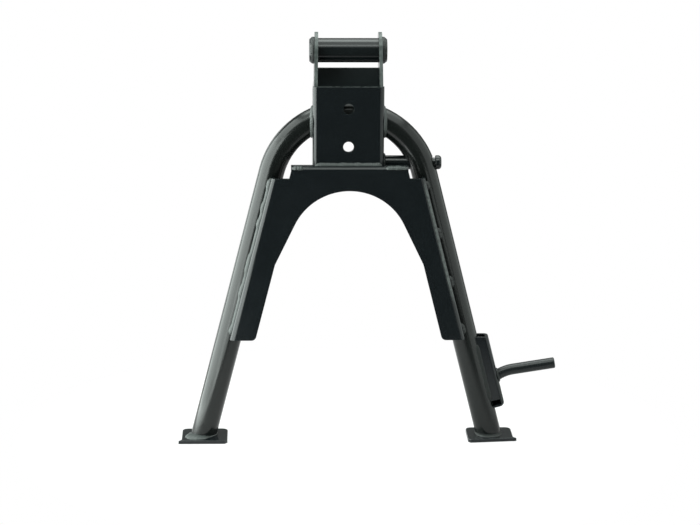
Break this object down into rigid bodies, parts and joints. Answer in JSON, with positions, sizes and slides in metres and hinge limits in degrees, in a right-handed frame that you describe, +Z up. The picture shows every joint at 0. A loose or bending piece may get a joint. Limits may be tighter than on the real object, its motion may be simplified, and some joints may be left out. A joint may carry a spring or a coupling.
{
  "type": "motorcycle centre stand",
  "caption": "Black powder-coated centre stand: bent tube bow on two feet, folded pivot bracket with cross barrel, pressed gusset, spring peg and foot lever.",
  "frame": {"origin": "centre of the pivot barrel's bore", "axes": "+X along the pivot bore towards the foot lever's side, +Y towards the back of the stand, +Z up; the stand is upright on its two feet"},
  "size_m": [0.3808, 0.0545, 0.4115],
  "materials": {
    "tube_paint": "satin to gloss black powder coat on round steel",
    "sheet_paint": "smooth black powder coat on flat and folded steel",
    "weld_paint": "black powder coat over rippled weld beads"
  },
  "bodies": {
    "root": {"bow_tube": "tube_paint", "pivot_barrel": "tube_paint", "foot_lever": "tube_paint", "spring_peg": "tube_paint", "pivot_bracket": "sheet_paint", "back_plate": "sheet_paint", "gusset_plate": "sheet_paint", "left_foot_plate": "sheet_paint", "right_foot_plate": "sheet_paint", "lever_channel": "sheet_paint", "left_foot_weld": "weld_paint", "right_foot_weld": "weld_paint", "left_barrel_weld": "weld_paint", "right_barrel_weld": "weld_paint", "left_bow_weld": "weld_paint", "right_bow_weld": "weld_paint", "web_weld": "weld_paint", "left_gusset_stitches": "weld_paint", "right_gusset_stitches": "weld_paint", "channel_welds": "weld_paint", "lever_weld": "weld_paint", "peg_weld": "weld_paint"}
  },
  "joints": []
}
